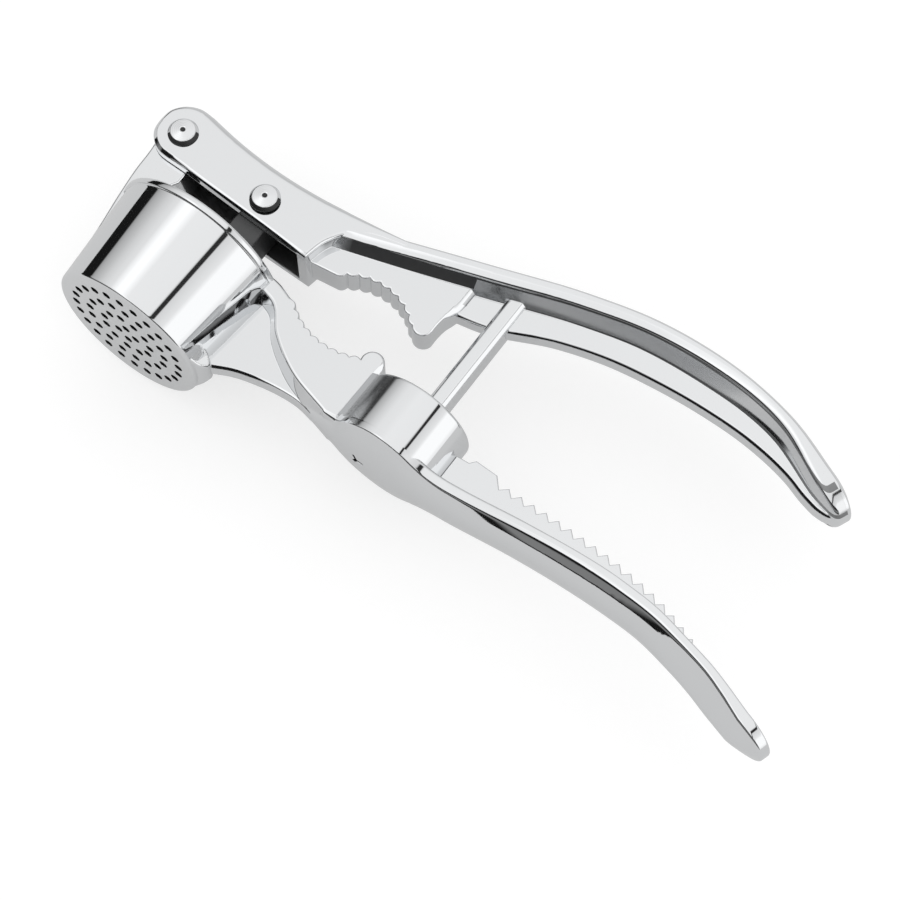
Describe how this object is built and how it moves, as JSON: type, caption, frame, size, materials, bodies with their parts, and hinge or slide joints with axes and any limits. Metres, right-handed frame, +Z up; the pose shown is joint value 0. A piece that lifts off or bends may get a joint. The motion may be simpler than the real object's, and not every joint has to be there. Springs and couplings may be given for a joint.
{
  "type": "garlic press",
  "caption": "Chrome garlic press with a sieve cup and hinged plunger, nutcracker jaws, a pitter rod over a small cup and a toothed fish scaler on the lower handle.",
  "frame": {"origin": "centre of the tool's box, on the surface that it lies on", "axes": "+X along the handles from the hinge to the tips, +Y across the tool from the sieve to the upper handle, +Z up, along the hinge axis"},
  "size_m": [0.1786, 0.067, 0.04],
  "materials": {
    "cast_chrome": "bright chrome plate on a zinc die casting",
    "rivet_steel": "turned and plated steel rivet"
  },
  "bodies": {
    "lower": {"lower_arm": "cast_chrome"},
    "upper": {"upper_arm": "cast_chrome", "hinge_rivet": "rivet_steel", "plunger_rivet": "rivet_steel"},
    "plunger": {"plunger": "cast_chrome"}
  },
  "joints": [
    {"name": "main_hinge", "type": "hinge", "parent": "lower", "child": "upper", "pos_m": [-0.08326, 0.00969, 0.02], "axis": [0, 0, 1], "range_deg": [-7.5, 48]},
    {"name": "plunger_swing", "type": "hinge", "parent": "upper", "child": "plunger", "pos_m": [-0.05966, 0.00699, 0.02], "axis": [0, 0, 1], "range_deg": [-42.54, 6.9]}
  ],
  "couplings": [
    {"joint": "plunger_swing", "follows": "main_hinge", "ratio": -0.88}
  ]
}
